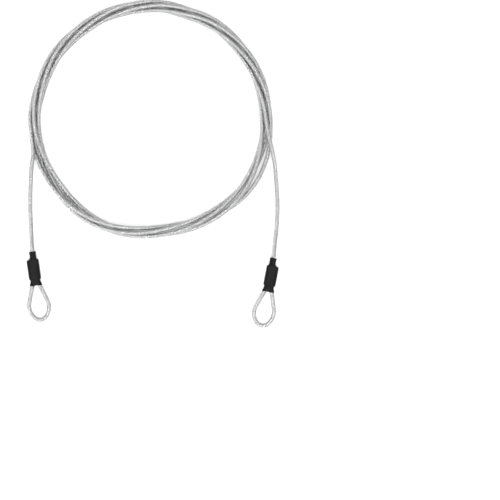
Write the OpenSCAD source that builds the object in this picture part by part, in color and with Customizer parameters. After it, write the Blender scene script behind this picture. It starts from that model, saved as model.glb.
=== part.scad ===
// Looped security cable: one length of coated wire rope, wound into a loose coil and turned back
// into an eye at each end, where a pressed ferrule under a heat-shrink sleeve holds it.
// Millimetres. +Y runs from the eyes to the coil, +Z is up, and the cable lies on z = 0.

/* [Cable] */
// Diameter over the clear jacket
cable_d = 4; // [3:0.1:5]
// Wall of the clear jacket
jacket_wall = 0.5; // [0.3:0.05:0.8]

/* [Coil] */
// Radius of the ring that the turns are bundled round
coil_r = 108; // [80:1:150]
// Full loops in the coil, before its last half loop
coil_loops = 4; // [2:1:7]
// Gap between neighbouring turns
turn_gap = 0.9; // [0.7:0.1:2]

/* [Eyes] */
// Clear width inside each eye
eye_w = 14.7; // [13:0.1:24]
// Radius of the cable's centre line round the tip
tip_r = 7.4; // [5:0.1:8.8]
// Radius of the cable's centre line along the sides
side_r = 15; // [12:0.5:30]
// Radius of the cable's centre line where a leg leaves the ferrule
leg_bend_r = 6; // [5:0.5:12]
// Angle of each leg to the middle line of the eye
leg_spread = 18.5; // [16:0.5:26]
// How far the legs stay side by side past the ferrule
leg_run = 2; // [0:0.1:4]

/* [Ferrules] */
// Length of each pressed oval ferrule
ferrule_l = 16.7; // [12:0.1:24]
// Wall of the ferrule
ferrule_wall = 0.95; // [0.6:0.05:1.4]
// How far the cut end of the cable stops short inside the ferrule
dead_end_back = 4; // [3:0.1:8]

/* [Sleeves] */
// Wall of the heat-shrink sleeve
sleeve_wall = 0.65; // [0.3:0.05:0.9]
// Wall of its neck, which has shrunk further
neck_wall = 0.95; // [0.5:0.05:1.2]
// Length of the neck on the single cable
neck_l = 6.4; // [5:0.1:14]
// Length of the shoulder between ferrule and neck
shoulder_l = 1.4; // [1.2:0.1:3]
// Distance of the waist from the ferrule's end
waist_l = 2.6; // [1.5:0.1:3.5]
// Distance of the open mouth from the ferrule's end
mouth_l = 7; // [4.5:0.1:9]
// Sideways step of the neck's end from the middle of the ferrule
neck_shift = 0.95; // [0.5:0.05:1.8]
// How far the neck's base stays behind its end on the way there
shoulder_lag = 0.3; // [0:0.05:0.5]
// Length above the shoulder in which the cable comes straight
slant_l = 1.8; // [1:0.1:3]
// How much wider the neck's open end is
neck_flare = 0.35; // [0:0.05:0.6]
// Length of that flare
flare_l = 1.6; // [0.5:0.1:2.5]

/* [Hidden] */
$fn = 48;

// Clearance between the layers of the cable, between its two legs, and of what fits round them
layer_gap = 0.03;
leg_gap = 0.1;
fit = 0.05;

// The seven strands are alike, so the one in the middle is a third of the rope
cable_r = cable_d / 2;
rope_d = cable_d - 2 * jacket_wall;
core_d = rope_d / 3;

// Outer and inner radius and colour of each layer
JACKET = [cable_r, rope_d / 2 + layer_gap, "gainsboro"];
OUTER_STRANDS = [rope_d / 2, core_d / 2 + layer_gap, "silver"];
CORE_STRAND = [core_d / 2, 0, "darkgray"];

// ---- Coil: the turns lie side by side round a ring, and twist together round it like a rope ----
coil_at = [-1.45, 40.4]; // middle of the coil, from the middle of the footprint
loop_rings = 24;
coil_sides = 6;
coil_end = 360 * coil_loops + 180;
slots = coil_loops + 1;
slot_angle = 360 / slots;
// Twists of the bundle in a loop, so that each turn comes round in a slot of its own
twist = 2 + (slots % 2 == 0 ? 1 : 2) / slots;
bundle_r = (cable_d + turn_gap) / 2 / sin(slot_angle / 2);
floor_cut = cable_d / 10; // depth of the flats that the coil lies on
bundle_z = bundle_r + cable_r - floor_cut;

// Where the hand-wound ring leaves its circle: angle, half width in degrees, height
ring_swells = [[73, 12, -0.8], [155, 40, 1], [187, 28, 2], [280, 50, -4], [338, 25, 0.6]];

// The turn behind the empty slot has slack: it swings forward into the slot and bows away from the others
slack_turn = slots % 2 == 1 ? (slots - 3) / 2 : slots - 2;
slack_swing = [320, 42, 0.86 * slot_angle]; // angle, half width, degrees of swing
slack_bow = [334, 30, 1.5]; // angle, half width, millimetres

function bump(offset, half_width) =
    abs(offset) < half_width ? (1 + cos(180 * offset / half_width)) / 2 : 0;
function nearest(offset) = offset - 360 * round(offset / 360);
function sum(list, i = 0) = i < len(list) ? list[i] + sum(list, i + 1) : 0;
function slack(shape, t) = shape[2] * bump(t - 360 * slack_turn - shape[0], shape[1]);
function ring_r(t) = coil_r + sum([for (s = ring_swells) s[2] * bump(nearest(t - s[0]), s[1])]);
function phase(t) = 90 + twist * t + slack(slack_swing, t);

// Centre of the cable after t degrees of winding
function coil_point(t) =
    let (out = ring_r(t) + (bundle_r + slack(slack_bow, t)) * cos(phase(t)))
    [coil_at.x + out * cos(t), coil_at.y + out * sin(t), bundle_z + bundle_r * sin(phase(t))];

function unit(v) = v / norm(v);
function heading(t) = unit(coil_point(t + 1) - coil_point(t - 1));

// The cable leaves the coil at its two ends, straight for one diameter
right_exit = coil_point(0);
left_exit = coil_point(coil_end);
right_start = right_exit - heading(0) * cable_d;
left_start = left_exit + heading(coil_end) * cable_d;
coil_loop_points = [for (i = [0 : coil_end * loop_rings / 360]) coil_point(i * 360 / loop_rings)];
coil_route = concat([right_start], coil_loop_points, [left_start]);

// Least gap between turns, from each ring to the rings beside it on every other turn
coil_gap = min([
    for (i = [0 : len(coil_loop_points) - 1], turn = [1 : coil_loops], side = [-1 : 1])
        let (other = i + turn * loop_rings + side)
        if (other < len(coil_loop_points)) norm(coil_loop_points[i] - coil_loop_points[other])
]) - cable_d;
echo(least_gap_between_turns = coil_gap);

// ---- End fittings, each drawn with the ferrule's open end at the origin and the eye towards -Y ----
left_turn = 7.8; // heading of the left fitting, in degrees
right_turn = -10.9;
leg_x = (cable_d + leg_gap) / 2;
leg_bore_r = cable_r + fit;
ferrule_r = leg_bore_r + ferrule_wall;
sleeve_r = ferrule_r + fit + sleeve_wall;
neck_base_y = ferrule_l + shoulder_l;
neck_top_y = neck_base_y + neck_l;
slant_top_y = neck_base_y + slant_l;
dead_end_y = ferrule_l - dead_end_back;
neck_bore_r = cable_r + 2 * fit;
neck_r = neck_bore_r + neck_wall;
slope_step = sleeve_wall / 2; // keeps the wall's thickness where it slopes in at the ferrule's ends

// The eye is a leg bend, a straight side, a side arc and a tip arc, each running into the next
side_x = (eye_w + cable_d) / 2;
bend_x = leg_x + leg_bend_r * (1 - cos(leg_spread));
bend_y = leg_run + leg_bend_r * sin(leg_spread);
straight_l = (side_x - side_r * (1 - cos(leg_spread)) - bend_x) / sin(leg_spread);
side_y = bend_y + straight_l * cos(leg_spread) + side_r * sin(leg_spread);
side_arc_x = side_x - side_r;
tip_y = side_y + sqrt(pow(side_r - tip_r, 2) - pow(side_arc_x, 2));
side_arc_end = acos((side_r - side_x) / (side_r - tip_r));
eye_l = tip_y + tip_r;

// The fitting lies on the sleeve and on the eye's tip
fitting_tilt = asin((sleeve_r - cable_r) / eye_l);
fitting_z = sleeve_r * cos(fitting_tilt) + slope_step * sin(fitting_tilt);

// Half of the eye's centre line, from the ferrule round the leg bend and the side arc
leg_bend_steps = 2;
side_steps = 5;
tip_steps = 8;
eye_sides = 12;
eye_half = concat(
    [for (i = [0 : leg_bend_steps])
        let (a = leg_spread * i / leg_bend_steps)
        [leg_x + leg_bend_r * (1 - cos(a)), -leg_run - leg_bend_r * sin(a), 0]],
    [for (i = [0 : side_steps])
        let (a = leg_spread - (leg_spread + side_arc_end) * i / side_steps)
        [side_arc_x + side_r * cos(a), -side_y + side_r * sin(a), 0]]
);
eye_tip = [
    for (i = [1 : tip_steps - 1])
        let (a = -side_arc_end - (180 - 2 * side_arc_end) * i / tip_steps)
        [tip_r * cos(a), -tip_y + tip_r * sin(a), 0]
];
eye_points = concat(
    [[leg_x, dead_end_y, 0]],
    eye_half,
    eye_tip,
    [for (i = [len(eye_half) - 1 : -1 : 0]) [-eye_half[i].x, eye_half[i].y, 0]],
    [[-leg_x, dead_end_y, 0]]
);

function leg_x_at(depth) =
    depth < bend_y
        ? leg_x + leg_bend_r - sqrt(pow(leg_bend_r, 2) - pow(max(depth - leg_run, 0), 2))
        : bend_x + (depth - bend_y) * tan(leg_spread);

// Past the cut end the cable swings over from its leg to the middle of the neck, in half a cosine wave
function neck_x_at(y) =
    let (share = max(0, min(1, (y - dead_end_y) / (slant_top_y - dead_end_y))))
    leg_x + (neck_shift - leg_x) * (1 - cos(180 * share)) / 2;

// The neck's base lags behind, and is wide enough for the cable that still slants there
shoulder_x = neck_shift - shoulder_lag;
shoulder_bore_r = neck_bore_r + neck_x_at(neck_base_y) - shoulder_x;

// ---- Tails, from the coil to the sleeves: sideways and lengthways from the coil's exit, and height
// ---- of the cable above where it lies flat. The last point is the end of the sleeve's neck.
tail_sides = 8;
right_tail_points = [
    [1.9, -12, 8.6], [3.8, -21, 8.9], [6, -30, 8.3], [7.9, -40, 6.6], [8.9, -51, 4.6], [9.8, -62, 2.9],
    [10.4, -73, 1.5], [10.6, -84, 0.6], [10, -95, 0.2], [9.2, -106, 0.5], [7.8, -117, 1.5]
];
right_neck_end = [6.7, -129.4];
left_tail_points = [
    [1, -10, 5.4], [2, -20, 6.3], [3, -30, 6.9], [1.7, -40, 6.2], [0.8, -50, 4.6], [0.2, -61, 2.6],
    [-0.2, -72, 1.1], [-0.3, -83, 0.3], [0.1, -94, 0.1], [0.7, -105, 0.7], [1.3, -114, 1.6]
];
left_neck_end = [1.9, -123.3];

function tail_route(points, exit) =
    [for (p = points) [exit.x + p.x, exit.y + p.y, cable_r + p.z]];

// A point of an end fitting, tilted, turned and set with its neck's end on the tail's last point
function tilted(p) =
    [p.x, p.y * cos(fitting_tilt) - p.z * sin(fitting_tilt), p.y * sin(fitting_tilt) + p.z * cos(fitting_tilt)];
function turned(p, turn) = [p.x * cos(turn) - p.y * sin(turn), p.x * sin(turn) + p.y * cos(turn), p.z];
function fitting_at(exit, neck_end, turn, side) =
    let (neck = turned(tilted([side * neck_shift, neck_top_y, 0]), turn))
    [exit.x + neck_end.x - neck.x, exit.y + neck_end.y - neck.y, fitting_z];
function fitting_point(at, turn, side, p) = at + turned(tilted([side * p.x, p.y, p.z]), turn);

left_at = fitting_at(left_exit, left_neck_end, left_turn, 1);
right_at = fitting_at(right_exit, right_neck_end, right_turn, -1);
left_fitting = [left_at, left_turn, 1];
right_fitting = [right_at, right_turn, -1];

// Inside the sleeve the cable slants from the neck into the ferrule, down to where the eye takes over
slant_middle_y = (slant_top_y + dead_end_y) / 2;
function neck_route(f) = [
    for (y = [neck_top_y, slant_top_y, slant_middle_y, dead_end_y])
        fitting_point(f[0], f[1], f[2], [neck_x_at(y), y, 0])
];
left_route = concat([left_start], tail_route(left_tail_points, left_exit), neck_route(left_fitting));
right_route = concat([right_start], tail_route(right_tail_points, right_exit), neck_route(right_fitting));
function fitting_heading(turn) = turned(tilted([0, -1, 0]), turn);
function eye_route(f) = [for (p = eye_points) fitting_point(f[0], f[1], f[2], p)];

// ---- Swept tube ----
function middle_headings(path, first, last) =
    [for (i = [0 : len(path) - 1])
        i == 0 ? first : i == len(path) - 1 ? last : unit(path[i + 1] - path[i - 1])];

// One ring of points round the path, with a corner to each side
function ring(at, along, r, sides) =
    let (right = unit(cross(along, [0, 0, 1])), up = cross(right, along))
    [for (i = [0 : sides - 1]) at + r * (cos(360 * i / sides) * right + sin(360 * i / sides) * up)];

// Closed wall between an outside and an inside, each a list of rings, or a bar where inside is empty
module shell(outside, inside) {
    sides = len(outside[0]);
    hollow = len(inside) > 0;
    inner = len(outside) * sides;
    last = (len(outside) - 1) * sides;
    walls = [
        for (base = hollow ? [0, inner] : [0], i = [0 : len(outside) - 2], j = [0 : sides - 1])
            let (
                a = base + i * sides + j,
                b = base + i * sides + (j + 1) % sides,
                halves = [[a, b, b + sides], [a, b + sides, a + sides]]
            )
            each base == 0 ? halves : [for (f = halves) [f[0], f[2], f[1]]]
    ];
    bar_ends = [for (j = [1 : sides - 2]) each [[0, j + 1, j], [last, last + j, last + j + 1]]];
    wall_ends = [
        for (j = [0 : sides - 1])
            let (k = (j + 1) % sides, end = inner + last)
            each [
                [k, j, inner + j], [k, inner + j, inner + k],
                [last + j, last + k, end + k], [last + j, end + k, end + j]
            ]
    ];
    corners = [for (r = concat(outside, inside)) each r];
    polyhedron(corners, concat(walls, hollow ? wall_ends : bar_ends));
}

// Tube of one layer of the cable along a path
module tube(path, first, last, layer, sides) {
    along = middle_headings(path, first, last);
    rings = [for (r = [layer[0], layer[1]]) [for (i = [0 : len(path) - 1]) ring(path[i], along[i], r, sides)]];
    shell(rings[0], layer[1] > 0 ? rings[1] : []);
}

// ---- Sub-parts ----
module coil(layer) {
    color(layer[2])
        difference() {
            tube(coil_route, heading(0), heading(coil_end), layer, coil_sides);
            if (layer[0] == cable_r)
                translate([coil_at.x - 2 * coil_r, coil_at.y - 2 * coil_r, -cable_d])
                    cube([4 * coil_r, 4 * coil_r, cable_d]);
        }
}

module left_tail(layer) {
    color(layer[2]) tube(left_route, heading(coil_end), fitting_heading(left_turn), layer, tail_sides);
}

module right_tail(layer) {
    color(layer[2]) tube(right_route, -heading(0), fitting_heading(right_turn), layer, tail_sides);
}

module place(fitting) {
    translate(fitting[0])
        rotate([0, 0, fitting[1]])
            rotate([fitting_tilt, 0, 0])
                mirror([fitting[2] < 0 ? 1 : 0, 0, 0])
                    children();
}

module eye(fitting, layer) {
    down = fitting_heading(fitting[1]);
    color(layer[2]) tube(eye_route(fitting), down, -down, layer, eye_sides);
}

// Oval bar round both legs, from one distance along Y to another
module oval(r, half_pitch, from, to) {
    translate([0, from, 0])
        rotate([-90, 0, 0])
            linear_extrude(to - from)
                union() {
                    square([2 * half_pitch, 2 * r], center = true);
                    for (x = [-half_pitch, half_pitch]) translate([x, 0]) circle(r = r);
                }
}

module ferrule(fitting) {
    color("silver")
        place(fitting)
            difference() {
                oval(ferrule_r, leg_x, 0, ferrule_l);
                oval(leg_bore_r, leg_x, -1, ferrule_l + 1);
            }
}

// Ring of the sleeve's skin: an oval round the cable or round both legs, at a distance along Y
sleeve_corners = 24;
function skin(y, x, half_pitch, r) = [
    for (i = [0 : sleeve_corners - 1])
        let (a = 360 * (i + 0.5) / sleeve_corners, corner_r = r / cos(180 / sleeve_corners))
        [x + half_pitch * sign(cos(a)) + corner_r * cos(a), y, corner_r * sin(a)]
];

module sleeve(fitting) {
    leg_r = cable_r / cos(leg_spread) + fit;
    waist_x = leg_x_at(waist_l);
    mouth_x = leg_x_at(mouth_l);
    outside = [
        skin(-mouth_l, 0, mouth_x, leg_r + sleeve_wall),
        skin(-waist_l, 0, waist_x, leg_r + sleeve_wall),
        skin(-slope_step, 0, leg_x, sleeve_r),
        skin(ferrule_l + slope_step, 0, leg_x, sleeve_r),
        skin(neck_base_y + slope_step, shoulder_x, 0, shoulder_bore_r + neck_wall),
        skin(slant_top_y, neck_shift, 0, neck_r),
        skin(neck_top_y - flare_l, neck_shift, 0, neck_r),
        skin(neck_top_y, neck_shift, 0, neck_r + neck_flare)
    ];
    inside = [
        skin(-mouth_l, 0, mouth_x, leg_r),
        skin(-waist_l, 0, waist_x, leg_r),
        skin(-fit, 0, leg_x, ferrule_r + fit),
        skin(ferrule_l + fit, 0, leg_x, ferrule_r + fit),
        skin(neck_base_y, shoulder_x, 0, shoulder_bore_r),
        skin(slant_top_y, neck_shift, 0, neck_bore_r),
        skin(neck_top_y - flare_l, neck_shift, 0, neck_bore_r),
        skin(neck_top_y, neck_shift, 0, neck_bore_r + neck_flare)
    ];
    color("#1b1b1d") place(fitting) shell(outside, inside);
}

eye(left_fitting, JACKET);  // left_eye_jacket
eye(left_fitting, OUTER_STRANDS);  // left_eye_outer_strands
eye(left_fitting, CORE_STRAND);  // left_eye_core_strand
left_tail(JACKET);  // left_tail_jacket
left_tail(OUTER_STRANDS);  // left_tail_outer_strands
left_tail(CORE_STRAND);  // left_tail_core_strand
coil(JACKET);  // coil_jacket
coil(OUTER_STRANDS);  // coil_outer_strands
coil(CORE_STRAND);  // coil_core_strand
right_tail(JACKET);  // right_tail_jacket
right_tail(OUTER_STRANDS);  // right_tail_outer_strands
right_tail(CORE_STRAND);  // right_tail_core_strand
eye(right_fitting, JACKET);  // right_eye_jacket
eye(right_fitting, OUTER_STRANDS);  // right_eye_outer_strands
eye(right_fitting, CORE_STRAND);  // right_eye_core_strand
ferrule(left_fitting);  // left_ferrule
ferrule(right_fitting);  // right_ferrule
sleeve(left_fitting);  // left_sleeve
sleeve(right_fitting);  // right_sleeve
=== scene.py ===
import bpy
import numpy as np
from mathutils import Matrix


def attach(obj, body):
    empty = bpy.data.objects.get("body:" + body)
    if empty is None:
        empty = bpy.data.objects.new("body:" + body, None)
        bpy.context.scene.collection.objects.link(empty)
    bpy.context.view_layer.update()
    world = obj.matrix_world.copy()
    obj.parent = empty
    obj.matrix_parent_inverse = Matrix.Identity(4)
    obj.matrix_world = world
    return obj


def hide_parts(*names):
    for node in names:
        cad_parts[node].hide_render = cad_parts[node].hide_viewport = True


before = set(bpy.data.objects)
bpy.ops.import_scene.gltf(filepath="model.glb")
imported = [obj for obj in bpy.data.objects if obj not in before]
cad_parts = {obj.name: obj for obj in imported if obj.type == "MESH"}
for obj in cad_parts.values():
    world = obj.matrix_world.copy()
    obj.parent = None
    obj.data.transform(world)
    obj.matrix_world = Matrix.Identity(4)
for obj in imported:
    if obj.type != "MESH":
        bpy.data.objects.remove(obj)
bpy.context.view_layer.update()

# The cable and its fittings are worked out in millimetres, and mm turns them into Blender's metres.
# Depths of bumps and places of the floor and the lamp are in metres from the start.
mm = 0.001

cable = {
    "diameter": 4.0,        # over the clear jacket
    "lineStep": 0.25,       # spacing of the points of its centre line
}

coil = {
    "at": (-1.45, 40.4),    # middle of the coil, from the middle of the footprint
    "radius": 108.0,
    "loops": 4,             # full loops before the last half loop
    "turnGap": 0.9,
    "swells": (             # angle, half width, how far the ring bulges there
        (73, 12, -0.8), (155, 40, 1), (187, 28, 2), (280, 50, -4), (338, 25, 0.6),
    ),
    "slackTurn": 1,         # the turn that wanders
    "slackSwing": (320, 42, 0.86),  # angle, half width, share of the step to the next slot
    "slackBow": (334, 30, 1.5),     # angle, half width, millimetres
    "knotEvery": 5,         # degrees between the knots of its route
}

cableR = cable["diameter"] / 2
slots = coil["loops"] + 1
slotAngle = 360 / slots
twist = 2 + (1 if slots % 2 == 0 else 2) / slots
bundleR = (cable["diameter"] + coil["turnGap"]) / 2 / np.sin(np.radians(slotAngle / 2))
coilTurning = 360 * coil["loops"] + 180


def raisedCosine(offset, halfWidth):
    # (1 + cos(pi * offset / halfWidth)) / 2: 1 in the middle, 0 from halfWidth outwards
    return np.where(np.abs(offset) < halfWidth, (1 + np.cos(np.pi * offset / halfWidth)) / 2, 0.0)


def blend(at, start, end):
    # 3 t^2 - 2 t^3: a smooth step from 0 at start to 1 at end
    t = np.clip((at - start) / (end - start), 0, 1)
    return t * t * (3 - 2 * t)


def coilPoints(turn):
    # The turns lie round a ring of radius ring, in slots of a bundle that twists as it goes round:
    # out = ring + bundle * cos(phase), height = middle + bundle * sin(phase)
    offRing = [height * raisedCosine((turn - at + 180) % 360 - 180, width)
               for at, width, height in coil["swells"]]
    ring = coil["radius"] + np.sum(offRing, axis=0)
    own = turn - 360 * coil["slackTurn"]
    at, width, share = coil["slackSwing"]
    phase = np.radians(90 + twist * turn + share * slotAngle * raisedCosine(own - at, width))
    at, width, bow = coil["slackBow"]
    out = ring + (bundleR + bow * raisedCosine(own - at, width)) * np.cos(phase)
    angle = np.radians(turn)
    return np.stack([
        coil["at"][0] + out * np.cos(angle),
        coil["at"][1] + out * np.sin(angle),
        bundleR + cableR + bundleR * np.sin(phase),
    ], axis=-1)


eye = {
    "clearWidth": 14.7,
    "tipRadius": 7.4,
    "sideRadius": 15.0,
    "legBendRadius": 6.0,
    "legSpread": np.radians(18.5),
    "legGap": 0.1,
    "legRun": 2.0,          # how far the legs stay side by side past the ferrule
    # Knots of the route in each stretch, both ends counted
    "knots": {"neck": 7, "ferrule": 7, "bend": 4, "straight": 5, "side": 9, "tip": 13},
}

ferrule = {"length": 16.7, "wall": 0.95, "deadEndBack": 4.0, "fit": 0.05}

sleeve = {
    "wall": 0.65,
    "neckWall": 0.95,
    "neckLength": 6.4,
    "shoulder": 1.4,
    "shoulderEase": (0.1, 0.35),    # how far the shoulder's slope reaches below and above it
    "shoulderLag": 0.3,     # how far the neck's base stays behind its end on the way to neckShift
    "neckShift": 0.95,      # sideways step of the neck's end from the middle of the ferrule
    "slant": 1.8,           # length above the shoulder in which the cable comes straight
    "flare": 0.35,          # how much wider the neck's open end is
    "flareLength": 1.6,
    "mouth": 7.0,           # distance of the open mouth from the ferrule's end
    "mouthWall": 0.4,
    "edgeWave": 0.12,       # unevenness of the mouth's edge
    "edgeWaveFrom": 0.5,    # distance from the ferrule's end at which it starts
    "step": (-2.6, -0.1),   # between these it widens from the cable's legs to the ferrule
    "flatCrown": np.radians(6),
    "arcCorners": 20,       # corners of one round end of its oval
    "flatCorners": 12,
    # Where a stretch of rows starts and ends, and how many it has
    "stepRows": (1.0, 32),  # from the mouth to here
    "bodyRows": (1.4, 18),  # from here to the neck's rows
    "neckRows": (0.8, 40),  # from this far below the ferrule's upper end to the neck's end
}

# Which side the live leg is on, where the neck ends from the coil's exit, and at which share of the
# coil's turning the tail leaves it
leftFitting = {"turn": np.radians(7.8), "side": 1, "neckEnd": (1.9, -123.3), "leavesAt": 1}
rightFitting = {"turn": np.radians(-10.9), "side": -1, "neckEnd": (6.7, -129.4), "leavesAt": 0}

neckR = cableR + 2 * ferrule["fit"] + sleeve["neckWall"]
legX = cableR + eye["legGap"] / 2
ferruleR = cableR + ferrule["fit"] + ferrule["wall"]
sleeveR = ferruleR + ferrule["fit"] + sleeve["wall"]
neckBase = ferrule["length"] + sleeve["shoulder"]
neckTop = neckBase + sleeve["neckLength"]
slantTop = neckBase + sleeve["slant"]
deadEnd = ferrule["length"] - ferrule["deadEndBack"]

# The eye's outline: the legs bend apart, run straight, and meet a side arc and the tip's arc
sideX = (eye["clearWidth"] + cable["diameter"]) / 2
spread = eye["legSpread"]
bendX = legX + eye["legBendRadius"] * (1 - np.cos(spread))
bendY = eye["legRun"] + eye["legBendRadius"] * np.sin(spread)
straight = (sideX - eye["sideRadius"] * (1 - np.cos(spread)) - bendX) / np.sin(spread)
sideY = bendY + straight * np.cos(spread) + eye["sideRadius"] * np.sin(spread)
sideArcX = sideX - eye["sideRadius"]
tipY = sideY + np.sqrt((eye["sideRadius"] - eye["tipRadius"]) ** 2 - sideArcX ** 2)
sideArcEnd = np.arccos((eye["sideRadius"] - sideX) / (eye["sideRadius"] - eye["tipRadius"]))

# A fitting rests on its sleeve and on the eye's tip, so it tilts by the difference of their radii
eyeLength = tipY + eye["tipRadius"]
tilt = np.arcsin((sleeveR - cableR) / eyeLength)
fittingHeight = sleeveR * np.cos(tilt) + sleeve["wall"] / 2 * np.sin(tilt)


def exitOf(fitting):
    # Where the fitting's tail leaves the coil
    return coilPoints(np.array([coilTurning * fitting["leavesAt"]]))[0]


def legXAt(depth):
    # Distance of a leg's centre from the middle line, below the ferrule: in the bend
    # legX + R - sqrt(R^2 - into^2), and after it a straight line at the spread angle
    bendR = eye["legBendRadius"]
    into = np.clip(depth, eye["legRun"], bendY) - eye["legRun"]
    inBend = legX + bendR - np.sqrt(bendR ** 2 - into ** 2)
    return np.where(depth < bendY, inBend, bendX + (depth - bendY) * np.tan(spread))


def neckXAt(y):
    # Past the cut end the cable swings over from its leg to the middle of the neck, in half a cosine wave
    share = np.clip((y - deadEnd) / (slantTop - deadEnd), 0, 1)
    return legX + (sleeve["neckShift"] - legX) * (1 - np.cos(np.pi * share)) / 2


def place(points, fitting):
    # From a fitting's own frame, with the ferrule's open end at the origin and the eye towards -Y:
    # mirrored by its side, tilted about X, turned about Z, and moved until the neck ends where it should
    local = np.asarray(points, float) * (fitting["side"], 1, 1)
    ct, st, cz, sz = np.cos(tilt), np.sin(tilt), np.cos(fitting["turn"]), np.sin(fitting["turn"])
    tilted = np.array([[1, 0, 0], [0, ct, -st], [0, st, ct]])
    turned = np.array([[cz, -sz, 0], [sz, cz, 0], [0, 0, 1]]) @ tilted
    neck = turned @ (fitting["side"] * sleeve["neckShift"], neckTop, 0)
    flatPlace = exitOf(fitting)[:2] + fitting["neckEnd"] - neck[:2]
    return local @ turned.T + (*flatPlace, fittingHeight)


def eyeRoute():
    # From the neck, down the live leg, round the eye and back up the dead leg:
    # a leg bend, a straight side, a side arc and half of the tip arc, and the same mirrored
    knots = eye["knots"]
    inFerrule = [[legX, y] for y in np.linspace(deadEnd, -eye["legRun"], knots["ferrule"])]
    a = np.linspace(0, spread, knots["bend"])[1:]
    bend = np.stack([legX + eye["legBendRadius"] * (1 - np.cos(a)),
                     -eye["legRun"] - eye["legBendRadius"] * np.sin(a)], -1)
    runShare = np.linspace(0, 1, knots["straight"])[1:-1, None]
    run = runShare * straight * np.array([np.sin(spread), -np.cos(spread)])
    a = spread - (spread + sideArcEnd) * np.linspace(0, 1, knots["side"])
    side = np.stack([sideArcX + eye["sideRadius"] * np.cos(a), -sideY + eye["sideRadius"] * np.sin(a)], -1)
    a = -sideArcEnd - (np.pi - 2 * sideArcEnd) * np.linspace(0, 1, knots["tip"])[1:-1]
    tip = np.stack([eye["tipRadius"] * np.cos(a), -tipY + eye["tipRadius"] * np.sin(a)], -1)
    half = np.concatenate([inFerrule, bend, bend[-1] + run, side])
    flat = np.concatenate([half, tip, half[::-1] * (-1, 1)])
    return np.column_stack([flat, np.zeros(len(flat))])


# Knots of the tails: sideways and lengthways from the coil's exit, and height above where the cable lies flat
rightTail = (
    (1.9, -12, 8.6), (3.8, -21, 8.9), (6, -30, 8.3), (7.9, -40, 6.6), (8.9, -51, 4.6), (9.8, -62, 2.9),
    (10.4, -73, 1.5), (10.6, -84, 0.6), (10, -95, 0.2), (9.2, -106, 0.5), (7.8, -117, 1.5),
)
leftTail = (
    (1, -10, 5.4), (2, -20, 6.3), (3, -30, 6.9), (1.7, -40, 6.2), (0.8, -50, 4.6), (0.2, -61, 2.6),
    (-0.2, -72, 1.1), (-0.3, -83, 0.3), (0.1, -94, 0.1), (0.7, -105, 0.7), (1.3, -114, 1.6),
)


def endRoute(tail, fitting):
    # From the coil's exit, down the tail and through the fitting to the cut end
    exitPoint = exitOf(fitting)
    points = np.array(tail) + (exitPoint[0], exitPoint[1], cableR)
    slantYs = np.linspace(slantTop, deadEnd, eye["knots"]["neck"])[:-1]
    neck = [[neckXAt(y), y, 0] for y in [neckTop, *slantYs]]
    return np.concatenate([points, place(np.concatenate([neck, eyeRoute()]), fitting)])


def smoothLine(knots, step):
    # Cubic spline through the knots, with its second derivatives m from the usual banded equations
    # and its parameter along the chords, then sampled at every step
    chord = np.linalg.norm(np.diff(knots, axis=0), axis=1)
    slope = np.diff(knots, axis=0) / chord[:, None]
    count = len(knots)
    band = np.eye(count)
    inner = np.arange(1, count - 1)
    band[inner, inner - 1] = chord[:-1]
    band[inner, inner] = 2 * (chord[:-1] + chord[1:])
    band[inner, inner + 1] = chord[1:]
    right = np.zeros_like(knots)
    right[1:-1] = 6 * np.diff(slope, axis=0)
    m = np.linalg.solve(band, right)
    along = np.concatenate([[0], np.cumsum(chord)])
    at = np.linspace(0, along[-1], int(along[-1] / step) + 1)
    i = np.clip(np.searchsorted(along, at, side="right") - 1, 0, count - 2)
    h, low, high = chord[i][:, None], (at - along[i])[:, None], (along[i + 1] - at)[:, None]
    return (m[i] * high ** 3 + m[i + 1] * low ** 3) / (6 * h) \
        + (knots[i] / h - m[i] * h / 6) * high + (knots[i + 1] / h - m[i + 1] * h / 6) * low


coilRoute = coilPoints(np.linspace(coilTurning, 0, int(coilTurning / coil["knotEvery"]) + 1))
leftRoute = endRoute(leftTail, leftFitting)
rightRoute = endRoute(rightTail, rightFitting)
fineLine = smoothLine(np.concatenate([leftRoute[::-1], coilRoute, rightRoute]), cable["lineStep"])
fineAlong = np.concatenate([[0], np.cumsum(np.linalg.norm(np.diff(fineLine, axis=0), axis=1))])
fineHeading = np.gradient(fineLine, axis=0)
cableLength = fineAlong[-1]


def atLength(s):
    # Centre of the cable, direction to its right and direction up, at the lengths s from the left cut end:
    # right is square to the heading and level, and up is square to both
    centre = np.stack([np.interp(s, fineAlong, fineLine[:, k]) for k in range(3)], -1)
    along = np.stack([np.interp(s, fineAlong, fineHeading[:, k]) for k in range(3)], -1)
    along /= np.linalg.norm(along, axis=1, keepdims=True)
    right = np.cross(along, (0, 0, 1))
    right /= np.linalg.norm(right, axis=1, keepdims=True)
    return centre, right, np.cross(right, along)


def neckLength(fitting):
    # Length along the cable where it passes nearest to the base of a fitting's neck
    base = place([[neckXAt(neckBase), neckBase, 0]], fitting)[0]
    return fineAlong[np.argmin(np.linalg.norm(fineLine - base, axis=1))]


leftNeck = neckLength(leftFitting)
rightNeck = neckLength(rightFitting)
print(f"route: cable {cableLength:.1f} mm, left neck at {leftNeck:.1f}, right neck at {rightNeck:.1f}")


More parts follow.
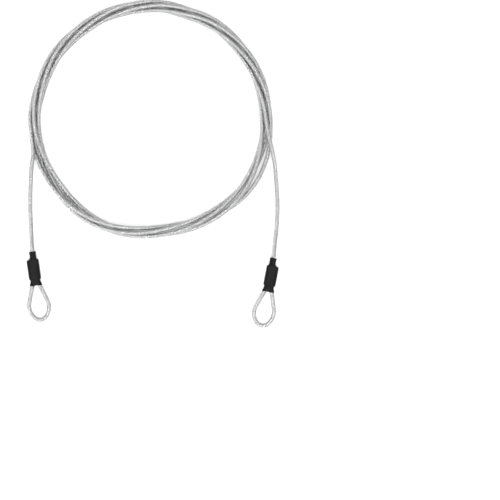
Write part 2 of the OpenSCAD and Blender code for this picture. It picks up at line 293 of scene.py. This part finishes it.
def meshFromRings(name, rings, along, material, loop=False, sharp=60):
    # rings is [tube, ring, corner, xyz]: quads join each ring to the next, and flat caps close the ends,
    # or with loop the last ring joins the first. The UV is the share of the way round and the length
    # in metres. Edges that turn by more than sharp degrees stay sharp.
    tubes, count, corners = rings.shape[:3]
    index = np.arange(tubes * count * corners).reshape(tubes, count, corners)
    nextRing = np.roll(index, -1, axis=1) if loop else index[:, 1:]
    thisRing = index if loop else index[:, :-1]
    quads = np.stack([thisRing, np.roll(thisRing, -1, 2), np.roll(nextRing, -1, 2), nextRing], -1)
    across = np.arange(corners) / corners
    u = np.stack([across, across + 1 / corners, across + 1 / corners, across], -1)
    v = np.asarray(along) * mm
    ends = np.roll(v, -1) if loop else v[1:]
    starts = v if loop else v[:-1]
    v = np.stack([starts, starts, ends, ends], -1)
    uv = np.zeros(quads.shape + (2,))
    uv[..., 0] = u
    uv[..., 1] = v[None, :, None, :]
    loops, uv, sizes = quads.reshape(-1), uv.reshape(-1, 2), np.full(quads.size // 4, 4)
    if not loop:
        caps = np.concatenate([index[:, 0, ::-1], index[:, -1]])
        loops = np.concatenate([loops, caps.reshape(-1)])
        uv = np.concatenate([uv, np.zeros((caps.size, 2))])
        sizes = np.concatenate([sizes, np.full(len(caps), corners)])
    mesh = bpy.data.meshes.new(name)
    mesh.vertices.add(index.size)
    mesh.vertices.foreach_set("co", (rings * mm).reshape(-1).astype(np.float32))
    mesh.loops.add(len(loops))
    mesh.loops.foreach_set("vertex_index", loops.astype(np.int32))
    mesh.polygons.add(len(sizes))
    mesh.polygons.foreach_set("loop_start", np.concatenate([[0], np.cumsum(sizes)[:-1]]).astype(np.int32))
    mesh.update(calc_edges=True)
    mesh.uv_layers.new(name="lay").uv.foreach_set("vector", uv.reshape(-1).astype(np.float32))
    mesh.validate()
    mesh.shade_smooth()
    mesh.set_sharp_from_angle(angle=np.radians(sharp))
    mesh.materials.append(material)
    piece = bpy.data.objects.new(name, mesh)
    bpy.context.scene.collection.objects.link(piece)
    return piece


def roundRings(s, radius, corners):
    # Circles square to the cable, clockwise seen from the start:
    # centre + radius * (cos a * right + sin a * up)
    centre, right, up = atLength(s)
    a = -2 * np.pi * np.arange(corners) / corners
    return centre[:, None] + radius * (np.cos(a)[:, None] * right[:, None] + np.sin(a)[:, None] * up[:, None])


def newMaterial(name, baseColor, metallic=0.0):
    # The colour is also what the viewport shows
    material = bpy.data.materials.new(name)
    material.use_nodes = True
    material.diffuse_color = (*baseColor, 1)
    shader = material.node_tree.nodes["Principled BSDF"]
    shader.inputs["Base Color"].default_value = (*baseColor, 1)
    shader.inputs["Metallic"].default_value = metallic
    return material, material.node_tree, shader


def node(tree, kind, **values):
    # Adds a node; a value whose name is a socket's goes on the socket, any other on the node
    made = tree.nodes.new(kind)
    for key, value in values.items():
        if key in made.inputs:
            made.inputs[key].default_value = value
        else:
            setattr(made, key, value)
    return made


def maths(tree, operation, first, second=None):
    # One Math node; each side is a number or another node's output
    made = tree.nodes.new("ShaderNodeMath")
    made.operation = operation
    for socket, value in zip(made.inputs, (first, second)):
        if isinstance(value, (int, float)):
            socket.default_value = value
        elif value is not None:
            tree.links.new(value, socket)
    return made.outputs[0]


def newGroup(name, inputs, outputs):
    # An empty node group with named sockets, its input node and its output node
    group = bpy.data.node_groups.new(name, "ShaderNodeTree")
    for label, kind, value in inputs:
        socket = group.interface.new_socket(name=label, in_out="INPUT", socket_type=kind)
        if value is not None:
            socket.default_value = value
    for label, kind in outputs:
        group.interface.new_socket(name=label, in_out="OUTPUT", socket_type=kind)
    return group, group.nodes.new("NodeGroupInput"), group.nodes.new("NodeGroupOutput")


def wireLayGroup():
    # Wires side by side round a strand: height = |cos(pi * count * (u + v / lay))|,
    # and a mask of the furrows between them, (1 - height)^3
    group, given, made = newGroup(
        "wireLay",
        [("Surface", "NodeSocketVector", None), ("Count", "NodeSocketFloat", 6.0),
         ("Lay", "NodeSocketFloat", 0.0085)],
        [("Height", "NodeSocketFloat"), ("Furrow", "NodeSocketFloat")],
    )
    parts = group.nodes.new("ShaderNodeSeparateXYZ")
    group.links.new(given.outputs["Surface"], parts.inputs[0])
    laid = maths(group, "DIVIDE", parts.outputs[1], given.outputs["Lay"])
    turns = maths(group, "ADD", parts.outputs[0], laid)
    angle = maths(group, "MULTIPLY", maths(group, "MULTIPLY", turns, given.outputs["Count"]), np.pi)
    height = maths(group, "ABSOLUTE", maths(group, "COSINE", angle))
    furrow = maths(group, "POWER", maths(group, "SUBTRACT", 1.0, height), 3.0)
    group.links.new(height, made.inputs["Height"])
    group.links.new(furrow, made.inputs["Furrow"])
    return group


def grainGroup():
    # Fine speckle on a slower cloud, both from noise: speckle for the surface, cloud for its colour and gloss
    group, given, made = newGroup(
        "grain",
        [("Vector", "NodeSocketVector", None), ("Fine", "NodeSocketFloat", 2500.0),
         ("Broad", "NodeSocketFloat", 120.0)],
        [("Speckle", "NodeSocketFloat"), ("Cloud", "NodeSocketFloat")],
    )
    for scale, detail, output in (("Fine", 2.0, "Speckle"), ("Broad", 3.0, "Cloud")):
        noise = node(group, "ShaderNodeTexNoise", Detail=detail, Roughness=0.6)
        group.links.new(given.outputs["Vector"], noise.inputs["Vector"])
        group.links.new(given.outputs[scale], noise.inputs["Scale"])
        group.links.new(noise.outputs["Fac"], made.inputs[output])
    return group


wireLay = wireLayGroup()
grain = grainGroup()
noiseSpread = (0.3, 0.7)    # noise over which a roughness goes from its first value to its second


def placeGroup(tree, group, **values):
    # Puts a group in a material; each value is a number or another node's output
    made = tree.nodes.new("ShaderNodeGroup")
    made.node_tree = group
    for key, value in values.items():
        if isinstance(value, bpy.types.NodeSocket):
            tree.links.new(value, made.inputs[key])
        else:
            made.inputs[key].default_value = value
    return made


def placeGrain(tree, scales):
    # The grain at its fine and broad scales, fixed to the piece
    point = tree.nodes.new("ShaderNodeTexCoord").outputs["Object"]
    return placeGroup(tree, grain, Vector=point, Fine=scales[0], Broad=scales[1])


def mapRange(tree, value, low, high, fromLow=0.0, fromHigh=1.0):
    # Straight line from low, where value is fromLow, to high, where it is fromHigh, and level beyond them
    made = tree.nodes.new("ShaderNodeMapRange")
    tree.links.new(value, made.inputs["Value"])
    for key, number in (("From Min", fromLow), ("From Max", fromHigh), ("To Min", low), ("To Max", high)):
        made.inputs[key].default_value = number
    return made.outputs["Result"]


def mixColours(tree, share, first, second):
    # first * (1 - share) + second * share
    made = tree.nodes.new("ShaderNodeMix")
    made.data_type = "RGBA"
    tree.links.new(share, made.inputs[0])
    made.inputs[6].default_value = (*first, 1)
    made.inputs[7].default_value = (*second, 1)
    return made.outputs[2]


def patchyRoughness(tree, shader, mask, ends):
    # Roughness from the first of ends to the second as the noise in mask rises
    tree.links.new(mapRange(tree, mask, *ends, *noiseSpread), shader.inputs["Roughness"])


def addBump(tree, shader, height, strength, distance):
    # Tips the surface by the slope of height, as if it stood out by distance
    made = tree.nodes.new("ShaderNodeBump")
    made.inputs["Strength"].default_value = strength
    made.inputs["Distance"].default_value = distance
    tree.links.new(height, made.inputs["Height"])
    tree.links.new(made.outputs["Normal"], shader.inputs["Normal"])


def steelWireMaterial():
    # Painted shade darkens the furrows between wires and the grooves between strands, where |cos(pi * u)|
    # falls;
    # in the grooves it also stands for their grease. Random patches are dull too.
    steel = {
        "bright": (0.88, 0.88, 0.875),
        "darkTone": (0.02, 0.02, 0.02),
        "wires": 6.0,           # round each strand
        "wireLay": 9.0,         # length in which a wire goes once round its strand, left-handed
        "wireDepth": 0.00006,
        # how far painted shade darkens the furrows between wires
        "furrowShade": 0.6,
        "groove": (0.36, 0.95),     # |cos(pi * u)| where a strand is all painted shade, and where it has none
        "patchDull": 0.2,
        "patches": (0.38, 0.62),    # cloud in which the patches come up
        "roughness": (0.23, 0.35),
        "grain": (2500.0, 420.0),
    }
    straightLay = 1e6       # so long that it doesn't turn
    material, tree, shader = newMaterial("steelWire", steel["bright"], metallic=1.0)
    uv = node(tree, "ShaderNodeUVMap", uv_map="lay").outputs["UV"]
    wires = placeGroup(tree, wireLay, Surface=uv, Count=steel["wires"], Lay=steel["wireLay"] * mm)
    strands = placeGroup(tree, wireLay, Surface=uv, Count=1.0, Lay=straightLay)
    cloud = placeGrain(tree, steel["grain"]).outputs["Cloud"]
    # Painted shade in the furrows and in the grooves (in the grooves also their grease), and random dull
    # patches
    paintedFurrowShade = maths(tree, "MULTIPLY", wires.outputs["Furrow"], steel["furrowShade"])
    grooveShadeAndGrease = mapRange(tree, strands.outputs["Height"], 1.0, 0.0, *steel["groove"])
    patches = mapRange(tree, cloud, 0.0, steel["patchDull"], *steel["patches"])
    tone = maths(tree, "ADD", maths(tree, "ADD", paintedFurrowShade, grooveShadeAndGrease), patches)
    tone = maths(tree, "MINIMUM", tone, 1.0)
    tree.links.new(mixColours(tree, tone, steel["bright"], steel["darkTone"]), shader.inputs["Base Color"])
    patchyRoughness(tree, shader, cloud, steel["roughness"])
    addBump(tree, shader, wires.outputs["Height"], 1.0, steel["wireDepth"])
    return material


def clearJacketMaterial():
    plastic = {
        "tint": (0.94, 0.945, 0.95),
        "ior": 1.5,
        "clear": 1.0,
        "roughness": (0.03, 0.09),
        "grain": (900.0, 90.0),
        "bump": (0.15, 0.00003),    # strength and depth
    }
    material, tree, shader = newMaterial("clearJacket", plastic["tint"])
    shader.inputs["IOR"].default_value = plastic["ior"]
    shader.inputs["Transmission Weight"].default_value = plastic["clear"]
    clouds = placeGrain(tree, plastic["grain"])
    patchyRoughness(tree, shader, clouds.outputs["Cloud"], plastic["roughness"])
    addBump(tree, shader, clouds.outputs["Speckle"], *plastic["bump"])
    return material


def heatShrinkMaterial():
    rubber = {
        "black": (0.003, 0.003, 0.0032),
        "worn": (0.008, 0.008, 0.0084),
        "wear": (0.35, 0.7),        # cloud in which it goes from black to worn
        "specular": 0.08,
        "roughness": (0.38, 0.56),
        "grain": (1800.0, 160.0),
        "bump": (0.5, 0.00008),     # strength and depth
    }
    material, tree, shader = newMaterial("heatShrink", rubber["black"])
    shader.inputs["Specular IOR Level"].default_value = rubber["specular"]
    clouds = placeGrain(tree, rubber["grain"])
    wear = mapRange(tree, clouds.outputs["Cloud"], 0, 1, *rubber["wear"])
    tree.links.new(mixColours(tree, wear, rubber["black"], rubber["worn"]), shader.inputs["Base Color"])
    patchyRoughness(tree, shader, clouds.outputs["Cloud"], rubber["roughness"])
    addBump(tree, shader, clouds.outputs["Speckle"], *rubber["bump"])
    return material


def ferruleMaterial():
    metal = {
        "pale": (0.8, 0.8, 0.81),
        "darkTone": (0.55, 0.55, 0.57),
        "roughness": (0.28, 0.45),
        "grain": (3000.0, 200.0),
        "bump": (0.4, 0.00005),     # strength and depth
    }
    material, tree, shader = newMaterial("pressedAluminium", metal["pale"], metallic=1.0)
    clouds = placeGrain(tree, metal["grain"])
    colour = mixColours(tree, clouds.outputs["Cloud"], metal["pale"], metal["darkTone"])
    tree.links.new(colour, shader.inputs["Base Color"])
    patchyRoughness(tree, shader, clouds.outputs["Speckle"], metal["roughness"])
    addBump(tree, shader, clouds.outputs["Speckle"], *metal["bump"])
    return material


steelWire = steelWireMaterial()
clearJacket = clearJacketMaterial()
heatShrink = heatShrinkMaterial()
pressedAluminium = ferruleMaterial()
print("materials: steel wire, clear jacket, heat shrink, pressed aluminium")

# The steps are the spacing of rings in millimetres, in the coil and in the eyes
rope = {
    "grooveRadius": 0.9,    # the jacket is pressed on to the rope and fills its grooves in to here
    "strandHigh": 0.49,     # half the height of an outer strand, measured out from the middle of the rope
    "strandWide": 0.497,    # half its width, measured round the rope
    "coreRadius": 0.5,
    "ropeLay": 15.0,        # length in which an outer strand goes once round, right-handed
    "endsBack": 1.0,        # how far the strands end inside the jacket's cut ends
    "easing": 20,           # length next to a neck in which the spacing changes
    "jacketSteps": (3.0, 0.8),
    "jacketCorners": 20,
    "coreSteps": (3.0, 1.0),
    "coreCorners": 8,
    "coilStrand": (1.5, 7),     # spacing of rings and corners of an outer strand
    "eyeStrand": (0.7, 10),
}


def ringLengths(start, end, steps):
    # Ring places along the cable: close together in the eyes, where it bends tightly, and wide in the coil
    coilStep, eyeStep = steps
    count = int((end - start) / cable["lineStep"])
    s = np.linspace(start, end, count + 1)
    easing = rope["easing"]
    inEye = 1 - blend(s, leftNeck, leftNeck + easing) + blend(s, rightNeck - easing, rightNeck)
    rings = np.concatenate([[0], np.cumsum(np.diff(s) / (coilStep + (eyeStep - coilStep) * inEye[1:]))])
    return np.interp(np.linspace(0, rings[-1], int(np.ceil(rings[-1])) + 1), rings, s)


def makeJacket():
    # One clear tube from cut end to cut end: outside forwards, inside back, joined in a loop
    s = ringLengths(0, cableLength, rope["jacketSteps"])
    outside = roundRings(s, cableR, rope["jacketCorners"])
    inside = roundRings(s, rope["grooveRadius"], rope["jacketCorners"])
    rings = np.concatenate([outside, inside[::-1]])[None]
    return meshFromRings("clearJacket", rings, np.concatenate([s, s[::-1]]), clearJacket, loop=True), s


def strandRings(s, corners):
    # Six strands round the core: centre + radius * out, out turning right-handed once in a lay.
    # Each section is an ellipse, a little wider round the rope than out from it.
    centre, right, up = atLength(s)
    first = 2 * np.pi * np.arange(6)[:, None] / 6
    turn = first - 2 * np.pi * s / rope["ropeLay"]
    out = np.cos(turn)[..., None] * right + np.sin(turn)[..., None] * up
    side = -np.sin(turn)[..., None] * right + np.cos(turn)[..., None] * up
    a = -2 * np.pi * np.arange(corners) / corners
    high = 2 * rope["coreRadius"] + rope["strandHigh"] * np.cos(a)[:, None]
    wide = rope["strandWide"] * np.sin(a)[:, None]
    return centre[None, :, None] + high * out[:, :, None] + wide * side[:, :, None]


def makeStrands(name, start, end, kind):
    # The six outer strands of one stretch, in one piece
    step, corners = kind
    s = np.linspace(start, end, int((end - start) / step) + 1)
    return meshFromRings(name, strandRings(s, corners), s, steelWire)


def makeCore(start, end):
    # The middle strand, one round rod
    s = ringLengths(start, end, rope["coreSteps"])
    rings = roundRings(s, rope["coreRadius"], rope["coreCorners"])[None]
    return meshFromRings("coreStrand", rings, s, steelWire)


leftEnd, rightEnd = rope["endsBack"], cableLength - rope["endsBack"]
jacket, jacketLengths = makeJacket()
coilStrands = makeStrands("coilOuterStrands", leftNeck, rightNeck, rope["coilStrand"])
leftEyeStrands = makeStrands("leftEyeOuterStrands", leftEnd, leftNeck, rope["eyeStrand"])
rightEyeStrands = makeStrands("rightEyeOuterStrands", rightNeck, rightEnd, rope["eyeStrand"])
coreStrand = makeCore(leftEnd, rightEnd)
print(f"cable: jacket of {len(jacketLengths)} rings, strands and core inside it")

# The neck's base is looser than the neck, because the cable still slants there
shoulderLoose = float(neckXAt(neckBase)) - sleeve["neckShift"] + sleeve["shoulderLag"]


def sleeveTemplate(arcPoints, flatPoints):
    # Corners of an oval: an angle and a share of the flat for each, round one end, over the top and so on.
    # The flats keep a crown of a few degrees, so their corners stay apart where the oval closes to a circle.
    crown = sleeve["flatCrown"]
    quarter = np.pi / 2
    half = np.concatenate([np.linspace(crown - quarter, quarter - crown, arcPoints, endpoint=False),
                           np.linspace(quarter - crown, quarter + crown, flatPoints, endpoint=False)])
    share = np.concatenate([np.ones(arcPoints), np.linspace(1, -1, flatPoints, endpoint=False)])
    return np.concatenate([half, half + np.pi]), np.concatenate([share, -share])


def sleeveRows():
    # Heights of the rows along the fitting: close at the ferrule's lower end and from the shoulder up
    stepTop, stepCount = sleeve["stepRows"]
    bodyStart, bodyCount = sleeve["bodyRows"]
    below, neckCount = sleeve["neckRows"]
    bodyTop = ferrule["length"] - below
    return np.concatenate([np.linspace(-sleeve["mouth"], stepTop, stepCount),
                           np.linspace(bodyStart, bodyTop, bodyCount)[:-1],
                           np.linspace(bodyTop, neckTop, neckCount)])


def makeSleeve(name, fitting, edgeShape):
    # A closed wall: outside from the mouth up to the neck, a round rim, inside back down, a round rim.
    # At y along the fitting the section is an oval of half pitch p and radius r about x = middle:
    # x = middle + p * share + r * cos(angle), z = r * sin(angle).
    # Its values stand with the ferrule's, because the cable's route needs them first.
    angle, share = sleeveTemplate(sleeve["arcCorners"], sleeve["flatCorners"])
    y = sleeveRows()
    easeBelow, easeAbove = sleeve["shoulderEase"]
    body = blend(y, *sleeve["step"])
    neck = blend(y, ferrule["length"] - easeBelow, neckBase + easeAbove)
    settled = blend(y, neckBase, slantTop)
    legs = legXAt(np.maximum(-y, 0))
    mouthR = cableR / np.cos(spread) + ferrule["fit"] + sleeve["mouthWall"]
    radius = mouthR * (1 - body) + sleeveR * body
    radius = radius * (1 - neck) + (neckR + shoulderLoose * (1 - settled)) * neck
    pitch = legs * (1 - neck)
    middle = (sleeve["neckShift"] - sleeve["shoulderLag"] * (1 - settled)) * neck
    wall = (sleeve["mouthWall"] + (sleeve["wall"] - sleeve["mouthWall"]) * body
            + (sleeve["neckWall"] - sleeve["wall"]) * neck)
    flare = sleeve["flare"] * blend(y, neckTop - sleeve["flareLength"], neckTop)
    # Rows in order round the wall, how deep in it each lies, and how far a rim's row stands out
    rimSteps = np.array([0.1, 0.3, 0.5, 0.7, 0.9])
    count, rimCount = len(y), len(rimSteps)
    rows = np.concatenate([np.arange(count), np.full(rimCount, count - 1),
                           np.arange(count)[::-1], np.zeros(rimCount, int)])
    depth = np.concatenate([np.zeros(count), rimSteps, np.ones(count), rimSteps[::-1]])
    rim = np.zeros(len(rows))
    rim[count:count + rimCount] = np.sin(np.pi * rimSteps)
    rim[-rimCount:] = -np.sin(np.pi * rimSteps)
    r = radius[rows] + flare[rows] - wall[rows] * depth
    x = middle[rows][:, None] + pitch[rows][:, None] * share + r[:, None] * np.cos(angle)
    z = r[:, None] * np.sin(angle)
    nearMouth = blend(-y[rows], sleeve["edgeWaveFrom"], sleeve["mouth"])[:, None]
    lean = sleeve["edgeWave"] * edgeShape(x / sleeve["mouth"]) * nearMouth
    rings = np.stack([x, np.broadcast_to((y[rows] + rim * wall[rows] / 2)[:, None], x.shape) + lean, z], -1)
    rings = place(rings, fitting)[:, ::-fitting["side"]]
    return meshFromRings(name, rings[None], y[rows], heatShrink, loop=True, sharp=50)


leftSleeve = makeSleeve("leftHeatShrink", leftFitting, lambda x: np.cos(2.3 * np.pi * x))
rightSleeve = makeSleeve("rightHeatShrink", rightFitting, lambda x: np.sin(1.7 * np.pi * x))
print("sleeves: left and right")

# Which piece stands for each layer's solids, in the order of the stretches
stretches = ("coil", "left_tail", "right_tail", "left_eye", "right_eye")
standIns = {
    "jacket": (jacket, jacket, jacket, jacket, jacket),
    "outer_strands": (coilStrands, coilStrands, coilStrands, leftEyeStrands, rightEyeStrands),
    "core_strand": (coreStrand, coreStrand, coreStrand, coreStrand, coreStrand),
}
for layer, pieces in standIns.items():
    for stretch, piece in zip(stretches, pieces):
        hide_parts(f"{stretch}_{layer}")
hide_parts("left_sleeve")
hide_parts("right_sleeve")

steelPieces = [coilStrands, leftEyeStrands, rightEyeStrands, coreStrand]
for piece in (jacket, *steelPieces, leftSleeve, rightSleeve):
    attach(piece, "root")

for name in ("left_ferrule", "right_ferrule"):
    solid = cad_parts[name]
    solid.data.materials.clear()
    solid.data.materials.append(pressedAluminium)

atLength(jacketLengths)[0] * mm


def makeFloor():
    # It glows a little, as a light table does, so the cable's shadow doesn't show from above
    # and is faint from the sides
    pale = {"size": 6.0, "colour": (0.6, 0.6, 0.6), "roughness": 0.9, "glow": 0.3}
    mesh = bpy.data.meshes.new("floor")
    half = pale["size"] / 2
    corners = [(-half, -half, 0), (half, -half, 0), (half, half, 0), (-half, half, 0)]
    mesh.from_pydata(corners, [], [(0, 1, 2, 3)])
    floor = bpy.data.objects.new("floor", mesh)
    bpy.context.scene.collection.objects.link(floor)
    material, tree, shader = newMaterial("paleFloor", pale["colour"])
    shader.inputs["Roughness"].default_value = pale["roughness"]
    shader.inputs["Emission Color"].default_value = (1, 1, 1, 1)
    shader.inputs["Emission Strength"].default_value = pale["glow"]
    mesh.materials.append(material)


def makeWorld():
    # A white tent, brightest round one direction: horizon + (bright - horizon) * max(0, cos)^narrowness,
    # where cos is that of the angle from the bright direction
    tent = {"bright": 3.6, "horizon": 0.6, "narrowness": 2.4, "towards": (0.02, -0.27, 0.95)}
    world = bpy.data.worlds.new("studio")
    world.use_nodes = True
    tree = world.node_tree
    cosine = node(tree, "ShaderNodeVectorMath", operation="DOT_PRODUCT")
    tree.links.new(tree.nodes.new("ShaderNodeTexCoord").outputs["Generated"], cosine.inputs[0])
    cosine.inputs[1].default_value = np.array(tent["towards"]) / np.linalg.norm(tent["towards"])
    nearness = maths(tree, "POWER", maths(tree, "MAXIMUM", cosine.outputs["Value"], 0.0), tent["narrowness"])
    strength = mapRange(tree, nearness, tent["horizon"], tent["bright"])
    tree.nodes["Background"].inputs["Color"].default_value = (1, 1, 1, 1)
    tree.links.new(strength, tree.nodes["Background"].inputs["Strength"])
    bpy.context.scene.world = world


def makeSoftBox():
    # A square lamp in front of the object, facing it
    box = {"at": (-0.2, -1.2, 1.5), "size": 1.6, "watts": 9, "turned": (0.67, -0.12, 0)}
    light = bpy.data.lights.new("softBox", "AREA")
    light.size = box["size"]
    light.energy = box["watts"]
    lamp = bpy.data.objects.new("softBox", light)
    lamp.location = box["at"]
    lamp.rotation_euler = box["turned"]
    bpy.context.scene.collection.objects.link(lamp)


def makeCamera():
    # Straight down, with +Y up in the picture; the frame's width and middle are at the cable's height
    view = {
        "middle": (91.25, -80.95), "width": 470.5, "height": 5.0,
        "lens": 200.0, "film": 36.0,
        "farClip": 50,          # metres
    }
    camera = bpy.data.cameras.new("camera")
    camera.lens = view["lens"]
    camera.sensor_width = view["film"]
    camera.clip_end = view["farClip"]
    eyeObject = bpy.data.objects.new("camera", camera)
    away = view["width"] * view["lens"] / view["film"]
    eyeObject.location = (view["middle"][0] * mm, view["middle"][1] * mm, (away + view["height"]) * mm)
    bpy.context.scene.collection.objects.link(eyeObject)
    bpy.context.scene.camera = eyeObject


makeFloor()
makeWorld()
makeSoftBox()
makeCamera()
bpy.context.scene.view_settings.view_transform = "Standard"
print("studio: floor, light and camera")
